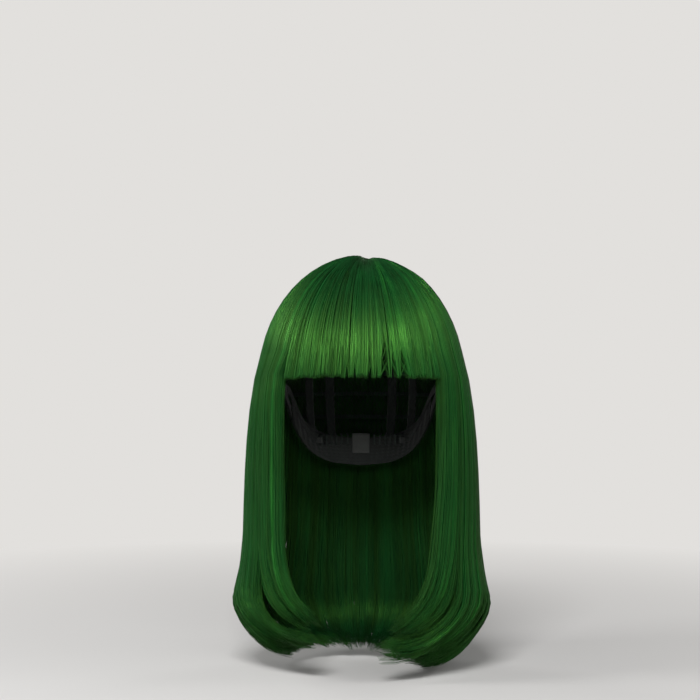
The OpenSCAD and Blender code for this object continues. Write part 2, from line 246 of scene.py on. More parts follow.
# Elevations of the crown's and the back's wefts, and of the others above the cap's edge
CROWN_ROWS = (56, 65, 74)
BACK_ROWS = (-14, -5, 4, 13, 22, 31, 40)
FRONT_ROWS = (2, 8, 14)
SIDE_ROWS = (3, 12, 21, 30)
NAPE_ROW = 4
WEFT_MID = 2.9 * MM
WEFT_W = 3 * MM
CORD_R = 0.52 * MM

SIDES = (("left", 1), ("right", -1))

# Filled while the cap is built: rows of stitches, stitches that bind wefts, and wefts
SEAMS = []
WEFT_SEAMS = []
ALL_WEFTS = []


def cap(u, e, off):
    """Points on the cap, from arrays of turns and elevations in degrees."""
    u, e, off = np.broadcast_arrays(np.radians(u), np.radians(e), off)
    tall = np.where(e >= 0, HEAD_H, NAPE_DEPTH) + off
    x = (HEAD_HALF_W + off) * np.cos(e) * np.sin(u)
    y = -(HEAD_HALF_L + off) * np.cos(e) * np.cos(u)
    return np.stack([x, y, tall * np.sin(e)], axis=-1)


def elevation(z):
    tall = np.where(z >= 0, HEAD_H, NAPE_DEPTH)
    return np.degrees(np.arcsin(np.clip(z / tall, -1, 1)))


def edge_elevation(u):
    """The elevation of the cap's lower edge, with its corners rounded."""
    around = np.linspace(-5, 5, 11)
    turn = np.abs((np.asarray(u, float)[..., None] + around + 180) % 360 - 180)
    return elevation(np.interp(turn, EDGE_TURNS, EDGE_MM).mean(axis=-1) * MM)


def rise(length):
    """The elevation that a length covers on the cap."""
    return math.degrees(length / HEAD_H)


def over_head(angle, side, off, across_x):
    """Points of a tape over the head: side is how far off the middle plane they lie."""
    angle, side, off = np.broadcast_arrays(np.radians(angle), side, off)
    half = (HEAD_HALF_L if across_x else HEAD_HALF_W) + off
    shrink = np.sqrt(1 - (side / half) ** 2)
    z = (HEAD_H + off) * np.sin(angle) * shrink
    reach = (HEAD_HALF_W if across_x else HEAD_HALF_L) + off
    flat = reach * np.cos(angle) * shrink
    return np.stack([flat, side, z] if across_x else [side, -flat, z], axis=-1)


# -- Cloth strips and sewing --

def sheet_piece(name, outer, inner, ring=False):
    """A closed sheet between two grids of points. In a ring the last row joins the first."""
    shift = outer[..., 0].size
    at = np.arange(shift).reshape(outer.shape[:2])
    if ring:
        at = np.concatenate([at, at[:1]])
        rims = [at[:, -1], at[::-1, 0]]
    else:
        rims = [np.concatenate([at[0], at[1:, -1], at[-1, -2::-1], at[-2::-1, 0]])]
    top = np.stack([at[:-1, :-1], at[:-1, 1:], at[1:, 1:], at[1:, :-1]], -1).reshape(-1, 4)
    walls = [np.stack([r[:-1], r[:-1] + shift, r[1:] + shift, r[1:]], -1) for r in rims]
    points = np.concatenate([outer.reshape(-1, 3), inner.reshape(-1, 3)])
    return mesh_piece(name, points, [top, (top + shift)[:, ::-1], *walls])


def strip(name, place, cells, mid, thick, ribs=0, gathers=0):
    """A strip of cloth with soft edges. place(p, w, off) gives its points: p runs along it from
    0 to 1, w across it from -1 to 1. ribs run along it, and gathers pucker it."""
    p = np.linspace(0, 1, cells[0] + 1)[:, None]
    w = np.linspace(-1, 1, cells[1] + 1)
    body = np.sqrt(np.clip(1 - w**8, 0.02, 1)) * np.clip(1 - (2 * p - 1) ** 60, 0.1, 1)
    rib = 0.09 * MM * np.cos(w * math.pi * ribs) * (ribs > 0)
    pucker = 0.22 * MM * np.sin(p * 2 * math.pi * gathers) * (1 - w * w) * (gathers > 0)
    outer = place(p, w, mid + pucker + body * thick / 2 + rib)
    inner = place(p, w, mid + pucker - body * thick / 2 - rib)
    return sheet_piece(name, outer, inner)


def line_length(line):
    """The length of a line of points, to the millimetre."""
    return round(float(np.linalg.norm(np.diff(line, axis=0), axis=1).sum()), 3)


def strip_width(place, mid, p=0.5):
    return line_length(place(np.array([p, p]), np.array([-1, 1]), mid))


def stretched(width, place, mid):
    """Measures the length along the middle of a strip of cloth, and keeps nothing. width, the size it
    was cut to, is not used.
    """
    length = line_length(place(np.linspace(0, 1, 200), 0, mid))


def dress(piece, material, slot_name, body, *nodes):
    """Gives a piece its material, hides the CAD nodes it stands for and attaches it to its body.
    slot_name is not used.
    """
    piece.data.materials.append(material)
    if nodes:
        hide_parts(*nodes)
    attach(piece, body)


def stitch_row(place, w, mid, spacing):
    """Where the stitches of one row go: (centres, directions, outward), each (count, 3)."""
    p = np.linspace(0.01, 0.99, 600)
    line = place(p, w, mid)
    out = unit(place(p, w, mid + MM) - line)
    run = np.concatenate([[0], np.cumsum(np.linalg.norm(np.diff(line, axis=0), axis=1))])
    stops = np.arange(spacing / 2, run[-1], spacing)
    along = unit(np.gradient(line, axis=0))

    def at_stops(values):
        return np.stack([np.interp(stops, run, values[:, k]) for k in range(3)], -1)

    return at_stops(line), unit(at_stops(along)), unit(at_stops(out))


def sew(place, mid, rows, spacing=3.2 * MM):
    """Adds rows of stitches to the cap's seams."""
    SEAMS.extend(stitch_row(place, w, mid, spacing) for w in rows)


def sewing(name, rows, length=2.1 * MM, radius=0.2 * MM):
    """All the stitches of some rows as one piece: short raised threads."""
    centres, along, out = (np.concatenate([r[k] for r in rows]) for k in range(3))
    t = np.linspace(-1, 1, 5)[None, :, None]
    path = centres[:, None] + along[:, None] * t * length / 2
    path = path + out[:, None] * (0.16 * MM * np.cos(t * math.pi / 2) - 0.06 * MM)
    size = radius * np.sqrt(1 - 0.8 * t[..., 0] ** 2)
    return closed_tubes(name, path, size, out[:, None], sides=5)


# -- The cap's pieces --

def row_strip(u0, u1, low, width):
    """Places on a strip whose lower edge is at the elevation low(u)."""
    def place(p, w, off):
        u = mix(u0, u1, p)
        return cap(u, low(u) + rise(width) * (w + 1) / 2, off)
    return place


def tape_strip(a0, a1, width, across_x=False):
    """Places on a tape over the head."""
    return lambda p, w, off: over_head(mix(a0, a1, p), w * width / 2, off, across_x)


def on_side(place, sign):
    """The same places on the wearer's left, or mirrored to the right for a sign of -1."""
    return lambda p, w, off: place(p, w, off) * np.array([sign, 1, 1])


def band(name, place, cells, width, rows=(-0.78, 0.78), elastic=False, **look):
    """A band inside the cap's edge, sewn on along both sides."""
    piece = strip(f"{name}_cloth", place, cells, LINING_OFF, LINING_T, **look)
    dress(piece, ELASTIC if elastic else CLOTH, "band", "root", name)
    sew(place, LINING_FACE, rows)
    stretched(width, place, LINING_OFF)


def tape(name, place, cells, width, node):
    """A tape sewn over the net."""
    piece = strip(name, place, cells, TAPE_MID, TAPE_T)
    dress(piece, CLOTH, "band", "root", node)
    sew(place, TAPE_FACE, (-0.75, 0.75))
    stretched(width, place, TAPE_MID)


def bands_and_tapes():
    front = row_strip(-62, 62, edge_elevation, FRONT_BAND_W)
    band("front_band", front, (90, 14), FRONT_BAND_W)
    round_ear = row_strip(63, 121, edge_elevation, SIDE_BAND_W)
    for side, sign in SIDES:
        band(f"side_band_{side}", on_side(round_ear, sign), (60, 12), SIDE_BAND_W)
    nape = row_strip(122, 238, edge_elevation, NAPE_BAND_W)
    band("nape_band", nape, (240, 42), NAPE_BAND_W, (-0.85, 0.85), True, ribs=7, gathers=26)
    tape("centre_tape_cloth", tape_strip(80, 168, TAPE_W), (60, 12), TAPE_W, "centre_tape")
    half = tape_strip(9, 82, TAPE_W, True)
    for side, sign in SIDES:
        tape(f"cross_tape_{side}", on_side(half, sign), (50, 12), TAPE_W, "cross_tape")
    for k, u in enumerate(NAPE_TAPE_TURNS):
        place = nape_tape_strip(u)
        tape(f"nape_tape_{k + 1}", place, (44, 8), strip_width(place, TAPE_MID), "nape_tapes")


def nape_tape_strip(turn):
    """Places on an upright tape at the nape."""
    ends = (NAPE_TAPE_TOP, float(edge_elevation(turn)) + 3)
    return lambda p, w, off: cap(turn + w * NAPE_TAPE_HALF_TURN, mix(*ends, p), off)


def parting_strip():
    """The fine, skin-coloured strip that shows in the parting."""
    place = tape_strip(44, 79, PARTING_W)
    piece = strip("parting_lace", place, (40, 12), TAPE_MID, TAPE_T)
    dress(piece, LACE, "parting", "root", "parting_strip")
    sew(place, TAPE_FACE, (-0.86, 0.86), 2.4 * MM)


def crown_patch():
    """The round patch that closes the crown, gathered a little to its middle."""
    def place(p, w, off):
        return cap(mix(0, 360, p), mix(CROWN_PATCH_EDGE, CROWN_PATCH_MIDDLE, (w + 1) / 2), off)

    p = np.linspace(0, 1, 73)[:-1][:, None]
    w = np.linspace(-1, 1, 13)
    body = np.sqrt(np.clip(1 - w**8, 0.05, 1)) * LINING_T / 2
    pleat = 0.16 * MM * np.sin(p * 2 * math.pi * 24) * (0.5 + 0.5 * w)
    grids = [place(p, w, LINING_OFF + pleat + s * body) for s in (1, -1)]
    piece = sheet_piece("crown_patch_cloth", *grids, ring=True)
    dress(piece, CLOTH, "band", "root", "crown_patch")
    sew(place, LINING_FACE, (-0.85, -0.6, 0.8))


def crown_net():
    """The stretch net: two crossing families of fine threads, thinned out towards the crown."""
    count = 124
    thread = np.arange(count)
    start = thread * 360 / count
    tops = np.where(thread % 2, 46, np.where(thread % 4 == 2, 64, 78))
    low = edge_elevation(start)
    s = np.linspace(0, 1, 40)
    paths = []
    for lean in (1, -1):
        e = mix(low[:, None], tops[:, None], s)
        u = start[:, None] + lean * (e - low[:, None]) * 0.9
        e = np.maximum(e, edge_elevation(u))
        paths.append(cap(u, e, 0.3 * MM + 0.05 * MM * lean))
    centre = np.concatenate(paths)
    piece = closed_tubes("crown_net_mesh", centre, NET_THREAD_R, unit(centre))
    dress(piece, NET, "net", "root", "crown_net")


def weft_rows(name, rows, *nodes):
    """Machine-sewn wefts: three cords side by side, bound by thread every few millimetres.

    rows holds (first turn, last turn, elevation function) for each weft.
    """
    ALL_WEFTS.extend(rows)
    places = [row_strip(*row, WEFT_W) for row in rows]
    p = np.linspace(0, 1, 64)
    lines = np.array([place(p, w, WEFT_MID) for place in places for w in (-0.6, 0, 0.6)])
    cords = closed_tubes(name, lines, CORD_R, unit(lines), sides=6)
    dress(cords, WEFT, "weft", "root", *nodes)
    for place in places:
        WEFT_SEAMS.extend(weft_binding(place))


def weft_binding(place):
    """Upright threads round a weft: their centres, directions and outward."""
    points, along, out = stitch_row(place, 0, WEFT_MID, 2.6 * MM)
    upright = unit(np.cross(out, along))
    side = 0.5 * MM
    return [(points - out * side, upright, -out), (points + out * side, upright, out)]


def above_edge(up):
    return lambda u: edge_elevation(u) + up


def level(e):
    return lambda u: e + 0 * u


def wefts():
    weft_rows("front_weft_cords", [(-50, 50, above_edge(up)) for up in FRONT_ROWS], "front_wefts")
    for side, sign in SIDES:
        rows = [(sign * 53, sign * 103, above_edge(up)) for up in SIDE_ROWS]
        weft_rows(f"side_weft_cords_{side}", rows, f"side_wefts_{side}")
    weft_rows("crown_weft_cords", [(0, 359, level(e)) for e in CROWN_ROWS], "crown_wefts")
    back = [(106 + max(0, 12 - e * 0.4) * (e < 0), e) for e in BACK_ROWS]
    weft_rows("back_weft_cords", [(u, 360 - u, level(e)) for u, e in back], "back_wefts")
    weft_rows("nape_weft_cords", [(126, 234, above_edge(NAPE_ROW))], "nape_weft")
    binding = sewing("weft_binding", WEFT_SEAMS, length=3.0 * MM, radius=0.24 * MM)
    dress(binding, THREAD, "weft", "root")


# -- Ear tabs --

EAR_TURN = 76
EAR_HALF_TURN = 7.8
EAR_TOP_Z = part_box("ear_tab_left")[1].z
EAR_TIP_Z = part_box("ear_tab_left")[0].z


def ear_place(p, w, off):
    """Places on the ear tab, a tongue with a round tip."""
    half = EAR_HALF_TURN * np.sqrt(np.clip(1 - p**4, 0.0004, 1))
    return cap(EAR_TURN + w * half, elevation(mix(EAR_TOP_Z, EAR_TIP_Z, p)), off)


def ear_tabs():
    for side, sign in SIDES:
        place = on_side(ear_place, sign)
        body = f"ear_{side}"
        piece = strip(f"ear_tab_cloth_{side}", place, (40, 16), -0.05 * MM, 0.9 * MM)
        dress(piece, CLOTH, "band", body, f"ear_tab_{side}")
        width = strip_width(place, 0, 0)
        stretched(width, place, 0)
        rows = [stitch_row(place, w, -0.5 * MM, 2.6 * MM) for w in (-0.8, 0.8)]
        seam = sewing(f"ear_tab_stitches_{side}", rows, 1.8 * MM)
        dress(seam, THREAD, "band", body)


# -- Nape adjusters --

TRACK_Y = HINGES["adjuster_left_shift"][1]
TRACK_Z = HINGES["adjuster_left_shift"][2]
TRACK_R = max(
    math.hypot(v.co.x, v.co.y - TRACK_Y) for v in frame["nodes"]["adjuster_hook_left"].data.vertices
)
HOOK_T = 1 * MM
HOOK_HALF_H = (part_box("adjuster_hook_left")[1].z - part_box("adjuster_hook_left")[0].z) / 2
LOOP_TURNS = [44 - 6 * k for k in range(6)]
LOOP_R = 0.4 * MM
STRAP_TURNS = (114, 143.3)
STRAP_Z = -4 * MM
STRAP_W = 7 * MM
STRAP_T = 0.8 * MM
STRAP_DIVE = 2 * MM


def on_track(turn, radius, z):
    """Points on the hooks' arc: turn from the back of the nape, towards +X."""
    a = np.radians(turn)
    return np.stack([radius * np.sin(a), TRACK_Y + radius * np.cos(a), TRACK_Z + z + 0 * a], -1)


def hook_loops():
    """Double thread loops that the hook slides through and catches on."""
    t = np.linspace(-1, 1, 17) * math.pi / 2
    reach = TRACK_R + 0.4 * MM - (HOOK_T + 1.2 * MM) * np.abs(np.cos(t)) ** 0.45
    height = (HOOK_HALF_H + 0.75 * MM) * np.sign(np.sin(t)) * np.abs(np.sin(t)) ** 0.45
    spread = math.degrees(0.42 * MM / TRACK_R)
    turns = [turn + s * spread for turn in LOOP_TURNS for s in (-1, 1)]
    centre = np.array([on_track(turn + 0 * t, reach, height) for turn in turns])
    # Outward is along the track, as no thread runs that way
    a = np.radians(np.repeat(LOOP_TURNS, 2))[:, None]
    along = np.stack([np.cos(a), -np.sin(a), 0 * a], -1)
    for side, sign in SIDES:
        flip = np.array([sign, 1, 1])
        piece = closed_tubes(f"hook_loop_threads_{side}", centre * flip, LOOP_R, along * flip, 6)
        dress(piece, THREAD, "elastic", "root", f"hook_loops_{side}")


def strap_place(p, w, off):
    """Places on the elastic strap, from behind the ear to the hook's slot."""
    middle = mix(STRAP_Z, TRACK_Z, smooth(p * 1.1))
    e = elevation(middle + w * STRAP_W / 2)
    return cap(mix(*STRAP_TURNS, p), e, off - STRAP_DIVE * smooth(p))


def fold_place(p, w, off):
    """Places on the strap's end, which goes through the hook's slot and folds back."""
    bend = np.clip(p, 0, 0.5) * 2
    back = np.clip(p - 0.5, 0, 0.5) * 2
    turn = 47.2 - 2.6 * bend + 9 * back
    radius = TRACK_R - 0.3 * MM - 1.5 * MM * smooth(bend) - off
    return on_track(turn, radius - 0.4 * MM * back, w * STRAP_W / 2 * 0.82)


def anchor_place(p, w, off):
    """Places on the folded tab that sews the strap to the side band."""
    return cap(mix(STRAP_TURNS[0] - 6, STRAP_TURNS[0] - 0.5, p), elevation(STRAP_Z + w * 5 * MM), off)


def adjusters():
    for side, sign in SIDES:
        strap, fold, anchor = (on_side(p, sign) for p in (strap_place, fold_place, anchor_place))
        body = f"adjuster_{side}"
        piece = strip(f"strap_elastic_{side}", strap, (70, 20), -3 * MM, STRAP_T, ribs=4, gathers=20)
        piece.data.materials.append(ELASTIC)
        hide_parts(f"adjuster_strap_{side}")
        ends = [strap(p, 0, -3 * MM) for p in (0.08, 0.98)]
        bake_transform(piece)
        end = strip(f"strap_fold_{side}", fold, (30, 12), 0, 0.7 * MM, ribs=3)
        dress(end, ELASTIC, "elastic", body)
        pad = strip(f"strap_anchor_cloth_{side}", anchor, (12, 14), -3.1 * MM, 1.0 * MM)
        dress(pad, CLOTH, "elastic", "root", f"strap_anchor_{side}")
        sew(anchor, -3.6 * MM, (-0.7, 0, 0.7), 1.9 * MM)


def label_place(p, w, off):
    """Places on the sewn-in label at the nape, which hangs a little free at its foot."""
    z = mix(-46 * MM, -64 * MM, p)
    return cap(180 + 7 * w, elevation(z), off - 0.8 * MM * p * p)


def blank_label():
    piece = strip("nape_label", label_place, (24, 16), LABEL_OFF, 0.4 * MM)
    dress(piece, SATIN, "label", "root", "blank_label")
    stretched(strip_width(label_place, LABEL_OFF), label_place, LABEL_OFF)

    def top_edge(p, w, off):
        return label_place(0.07 + 0 * p, mix(-0.9, 0.9, p), off)

    sew(top_edge, -3.0 * MM, (0,), 1.8 * MM)


# -- CAD nodes that stay --

def plastic_parts():
    """The hooks and the ear tabs' stays keep their CAD shape, with softened edges."""
    kinds = ("adjuster_hook", "ear_tab_stay")
    for node in [frame["nodes"][f"{kind}_{side}"] for kind in kinds for side, _ in SIDES]:
        node.data.materials.clear()
        node.data.materials.append(PLASTIC)
        bevel = node.modifiers.new("soft_edges", "BEVEL")
        bevel.width = 0.18 * MM
        bevel.segments = 2
        bevel.limit_method = "ANGLE"


# -- Materials --

def new_material(name):
    """A material with a Principled shader. Returns it, its node tree and the shader."""
    material = bpy.data.materials.new(name)
    material.use_nodes = True
    tree = material.node_tree
    return material, tree, tree.nodes["Principled BSDF"]


def set_inputs(tree, node, inputs):
    """Sets inputs of a node to values, or links them to sockets."""
    for key, value in inputs.items():
        if isinstance(value, bpy.types.NodeSocket):
            tree.links.new(value, node.inputs[key])
        else:
            node.inputs[key].default_value = value


def add_node(tree, kind, inputs=None, **settings):
    """A new node with its settings and its inputs."""
    node = tree.nodes.new("ShaderNode" + kind)
    for key, value in settings.items():
        setattr(node, key, value)
    set_inputs(tree, node, inputs or {})
    return node


def colour_ramp(tree, factor, stops):
    """A ColorRamp from (position, colour) stops."""
    node = add_node(tree, "ValToRGB", {"Fac": factor})
    ramp = node.color_ramp
    while len(ramp.elements) < len(stops):
        ramp.elements.new(0.5)
    for element, (position, colour) in zip(ramp.elements, stops):
        element.position = position
        element.color = (*colour, 1)
    return node.outputs["Color"]


def value_map(tree, value, low, high, to_low, to_high):
    """value from low to high, mapped to to_low to to_high and clamped."""
    ends = {"From Min": low, "From Max": high, "To Min": to_low, "To Max": to_high}
    return add_node(tree, "MapRange", {"Value": value, **ends}).outputs["Result"]


def maths(tree, operation, a, b):
    return add_node(tree, "Math", {0: a, 1: b}, operation=operation).outputs["Value"]


def object_place(tree):
    return add_node(tree, "TexCoord").outputs["Object"]


def noise(tree, place, scale, detail):
    inputs = {"Vector": place, "Scale": scale, "Detail": detail}
    return add_node(tree, "TexNoise", inputs).outputs["Fac"]


def bump(tree, height, strength, distance):
    inputs = {"Height": height, "Strength": strength, "Distance": distance}
    return add_node(tree, "Bump", inputs).outputs["Normal"]


HAIR_TONES = (
    (0.0, (0.0006, 0.005, 0.0023)),
    (0.35, (0.0016, 0.021, 0.0068)),
    (0.65, (0.0044, 0.052, 0.0125)),
    (1.0, (0.02, 0.145, 0.02)),
)
HAIR_GLOSS = (0.32, 1.0, 0.13, 1)


def hair_material():
    """Glossy fibre. Each strand has its own tone, with painted shade on deeper strands, lock edges
    and roots, and long patches drift in colour.
    """
    material, tree, shader = new_material("green_fibre")
    tone = add_node(tree, "Attribute", attribute_name="tone").outputs["Fac"]
    stretch = {"Vector": object_place(tree), "Scale": (60, 60, 9)}
    drift = add_node(tree, "Mapping", stretch).outputs["Vector"]
    shift = value_map(tree, noise(tree, drift, 1, 3), 0.3, 0.7, -0.10, 0.10)
    mixed = maths(tree, "ADD", tone, shift)
    looks = {
        "Base Color": colour_ramp(tree, mixed, HAIR_TONES),
        "Roughness": value_map(tree, mixed, 0.15, 0.9, 0.55, 0.27),
        "IOR": 1.75,
        "Specular Tint": HAIR_GLOSS,
    }
    set_inputs(tree, shader, looks)
    return material


def fine_weave(tree, place, threads):
    """A fine weave's light and shade. threads is their count per metre."""
    waves = []
    for direction, step in (("DIAGONAL", 5), ("Z", 10)):
        inputs = {"Vector": place, "Scale": threads * math.pi / step, "Distortion": 0.6, "Detail": 1}
        wave = add_node(tree, "TexWave", inputs, bands_direction=direction)
        waves.append(wave.outputs["Fac"])
    return maths(tree, "MULTIPLY", *waves)


def cloth_material(name, dark, light, threads=900, roughness=(0.72, 0.9)):
    """Woven or knitted cloth: two tones of thread, soft wear and a weave in the bump."""
    material, tree, shader = new_material(name)
    place = object_place(tree)
    weave = fine_weave(tree, place, threads)
    wear = noise(tree, place, 160, 4)
    weave_share = maths(tree, "MULTIPLY", weave, 0.6)
    both = maths(tree, "ADD", weave_share, maths(tree, "MULTIPLY", wear, 0.4))
    looks = {
        "Base Color": colour_ramp(tree, both, [(0.15, dark), (0.75, light)]),
        "Roughness": value_map(tree, wear, 0.3, 0.7, *roughness),
        "Normal": bump(tree, weave, 0.5, 0.2 * MM),
        "Sheen Weight": 0.3,
    }
    set_inputs(tree, shader, looks)
    return material


def thread_material(name, dark, light, roughness=(0.45, 0.6)):
    """Twisted sewing thread or nylon, with fine changes of tone along it."""
    material, tree, shader = new_material(name)
    drift = noise(tree, object_place(tree), 900, 2)
    looks = {
        "Base Color": colour_ramp(tree, drift, [(0.3, dark), (0.7, light)]),
        "Roughness": value_map(tree, drift, 0.3, 0.7, *roughness),
    }
    set_inputs(tree, shader, looks)
    return material


def plastic_material():
    """Moulded plastic with a fine grain and faint rub marks."""
    material, tree, shader = new_material("moulded_plastic")
    place = object_place(tree)
    rub = noise(tree, place, 260, 3)
    stops = [(0.3, (0.010, 0.012, 0.011)), (0.75, (0.028, 0.032, 0.030))]
    looks = {
        "Base Color": colour_ramp(tree, rub, stops),
        "Roughness": value_map(tree, rub, 0.3, 0.7, 0.30, 0.52),
        "Normal": bump(tree, noise(tree, place, 1400, 5), 0.25, 0.05 * MM),
    }
    set_inputs(tree, shader, looks)
    return material


# -- Hair --
# Every strand is rooted in a weft, rises to the hair's skin and follows it down. Strands rooted
# nearer the crown lie over the others: their rank runs from 0 at the crown to 1 at the last weft.

# The ranks of a panel's two layers, their strands, and the rings over the dome, down the straight
# part and round the curl
OUTER = (0, 0.5)
INNER = (0.5, 1)
LAYER_STRANDS = {OUTER: 1120, INNER: 1390}
LAYER_STEPS = {OUTER: (12, 8, 9), INNER: (7, 7, 9)}
FRINGE_STRANDS = 1650
FRINGE_STEPS = 15
FRINGE_LOCKS = 25
SIDE_LOCKS = 20
BACK_LOCKS = 23

STRAND_R = 0.29 * MM
ROOT_OFF = 2.9 * MM
CROWN_RANK = 0.27
# The last ring but one lies just short of the tip, so that the tip's end doesn't shade the strand
LAST_RING = 0.993
CROWN_REACH = 0.06
CROWN_TWIST = 24
PARTING_X = 4.7 * MM
PARTING_DEPTH = 3.6 * MM
PARTING_HALF_W = 4.6 * MM
SHOULDER_DROP = 1.7 * MM
# Where the curls of the back hair aim, on the middle plane
BACK_AIM = 8 * MM
# The turns where the side wefts take over from the front ones, and the back wefts from those
FRONT_END = 51.5
SIDE_END = 104.5


def front_rows(u):
    """Elevations of the wefts below the crown's that carry the fringe, from the top down."""
    edge = edge_elevation(u)
    return np.maximum(edge + FRONT_ROWS[-1], 47), np.maximum(edge + FRONT_ROWS[-2], 46)


def side_rows(u):
    edge = edge_elevation(u)

    def row(k):
        behind = np.where(u < SIDE_END, edge + SIDE_ROWS[k], BACK_ROWS[k])
        return np.where(u < FRONT_END, edge + FRONT_ROWS[k], behind)

    return row(-1), np.maximum(row(-2), 24)


def back_rows(u):
    return BACK_ROWS[-1], BACK_ROWS[-2]


def back_turns(place, z):
    return mix(*BACK_TURNS, place) + 0 * z


def bell(shape):
    """Bell-shaped random numbers without far outliers."""
    return np.clip(RANDOM.normal(0, 1, shape), -1.9, 1.9)


LOCK_LAYERS = 2
WISPS = 5
STRAY_SHARE = 0.28


class Locks:
    """Strands gathered in locks: where each lies, and how each lock differs from the next.

    The strands of the first and last locks keep to the panel's edges, so that panels meet.
    """

    def __init__(self, count, across, ranks):
        self.count = count
        self.place = (RANDOM.permutation(count) + RANDOM.uniform(0, 1, count)) / count
        self.rank = np.sort(RANDOM.uniform(*ranks, count))
        self.depth = HAIR_THICK * np.clip(self.rank + RANDOM.normal(0, 0.03, count), 0.01, 1)
        layer = (self.rank - ranks[0]) / (ranks[1] - ranks[0]) * LOCK_LAYERS
        layer = np.clip(layer.astype(int), 0, LOCK_LAYERS - 1)
        edges = np.cumsum(RANDOM.uniform(0.5, 1.5, (LOCK_LAYERS, across)), axis=1)
        edges = edges / edges[:, -1:]
        low = np.concatenate([np.zeros((LOCK_LAYERS, 1)), edges[:, :-1]], axis=1)
        column = (self.place[:, None] > edges[layer]).sum(axis=1)
        self.centre = (low + edges)[layer, column] / 2
        self.within = (self.place - self.centre) / (edges - low)[layer, column] * 2
        self.middle = np.where(column == 0, 0, np.where(column == across - 1, 1, self.centre))
        lock = layer * across + column
        locks = LOCK_LAYERS * across
        self.tone, self.length, self.bend = bell((3, locks))[:, lock]
        self.phase, self.hold = RANDOM.uniform(0, 1, (2, locks))[:, lock]
        wisp = np.clip(((self.within + 1) / 2 * WISPS).astype(int), 0, WISPS - 1)
        self.wisp = bell(locks * WISPS)[lock * WISPS + wisp]
        self.own = bell((6, count))
        self.stray = RANDOM.uniform(0, 1, count) < STRAY_SHARE

    def gathered(self, pull):
        """Places and depths with the strands drawn to the middle of their lock by pull, 0 to 1."""
        hold = mix(0.35, 1, self.hold) * np.where(self.stray, 0.25, 1)
        keep = 1 - pull * hold[:, None]
        groove = 1.5 * MM * pull * (self.within**2)[:, None]
        return mix(self.middle[:, None], self.place[:, None], keep), self.depth[:, None] + groove

    def tones(self, along):
        """One tone per strand and ring: the lock's, the wisp's and the strand's own, darkened by
        painted shade on deeper strands, at the edges of locks and near the roots.
        """
        base = 0.50 + 0.12 * self.tone + 0.07 * self.wisp + 0.05 * self.own[0]
        # Painted shade: strands that lie deeper under the others, and those at the edges of their
        # lock, are darker
        base = base - 0.20 * smooth(self.rank * 1.2) - 0.08 * self.within**4
        # Painted shade: each strand is darker near its root
        return base[:, None] - 0.30 * smooth((0.12 - along) / 0.12)


def root_angles(strands, rows):
    """Each strand's first elevation, in radians. Past 90 degrees lies beyond the crown."""
    rows = (*reversed(CROWN_ROWS), *rows)
    steps = np.linspace(CROWN_RANK, 1.001, len(rows) + 1)
    row = np.clip(np.searchsorted(steps, strands.rank, "right") - 1, 0, len(rows) - 1)
    table = np.stack([r + 0 * strands.place for r in rows])
    angle = np.radians(table[row, np.arange(strands.count)] + 0.25 * strands.own[5])
    share = mix(-CROWN_REACH, math.cos(math.radians(CROWN_PATCH_EDGE)), strands.rank / CROWN_RANK)
    return np.where(strands.rank < CROWN_RANK, np.arccos(np.clip(share, -1, 1)), angle)


def shell_point(turn, angle, z, depth):
    """A point of the hair's skin, which may lie beyond the crown, with the crown's soft twist."""
    turn = turn + CROWN_TWIST * np.exp(-np.abs(np.cos(angle)) / 0.07)
    beyond = np.where(angle > math.pi / 2, -1, 1)
    return hair_point(turn, z, depth) * np.stack([beyond, beyond, np.ones_like(beyond)], -1)


def rise_from_root(strands, centre, turn, start, run):
    """Moves each strand's first part down to its weft, and fans the crown out a little."""
    crown = strands.rank < CROWN_RANK
    root = cap(turn[:, :1], np.degrees(start), ROOT_OFF)
    fall = np.where(crown, mix(3.2, 8, np.clip(strands.rank / CROWN_RANK, 0, 1)), 8)[:, None] * MM
    fade = np.exp(-run / fall)
    centre = centre + (root - centre[:, :1]) * fade[..., None]
    sideways = np.stack([np.cos(np.radians(turn)), np.sin(np.radians(turn)), 0 * turn], -1)
    offset = 2.6 * MM * strands.own[3][:, None] * np.exp(-run / (30 * MM)) * crown[:, None]
    return centre + sideways * offset[..., None]


def shape_parting(centre, share):
    """Moves the crown's middle to the parting, sinks the groove and lowers its left shoulder."""
    x = centre[..., 0] + PARTING_X * (1 - share) ** 2
    z = centre[..., 2]
    top = smooth((z - 88 * MM) / (16 * MM))
    ahead = smooth((48 * MM - centre[..., 1]) / (34 * MM))
    groove = PARTING_DEPTH * np.exp(-((x - PARTING_X) / PARTING_HALF_W) ** 2)
    lower = SHOULDER_DROP * smooth((x - PARTING_X) / (9 * MM))
    return np.stack([x, centre[..., 1], z - (groove * ahead + lower) * top], axis=-1)


def strand_piece(name, nodes, strands, centre, along, blunt=0.3, taper=0.22):
    """The strands as one piece with their tones, in place of the CAD nodes. taper is the share of
    a strand that thins out to blunt, its thickness at the tip."""
    outward = centre * np.array([1, 1, 0]) + np.array([0, 0, 1e-4])
    crown = np.maximum(centre[..., 2:3], 0) * np.array([0, 0, 1])
    size = np.clip(STRAND_R * (1 + 0.16 * strands.own[1]), 0.16 * MM, None)[:, None]
    tip = smooth((along - 1 + taper) / taper)
    radius = size * mix(0.5, 1, smooth(along / 0.05)) * mix(1, blunt, tip)
    piece = closed_tubes(name, centre, radius, unit(outward + crown), flat=1.35)
    set_tones(piece, strands.tones(along))
    piece.data.materials.append(HAIR)
    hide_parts(*nodes)
    return piece


# Gaps in the fringe: place across it, half width at the cut, and the height where it opens
FRINGE_GAPS = (
    (0.637, 0.026, 46),
    (0.683, 0.019, 36),
    (0.748, 0.026, 34),
    (0.546, 0.012, 26),
    (0.41, 0.01, 21),
    (0.455, 0.01, 17),
    (0.59, 0.005, 23),
    (0.275, 0.005, 16),
    (0.88, 0.004, 16),
)


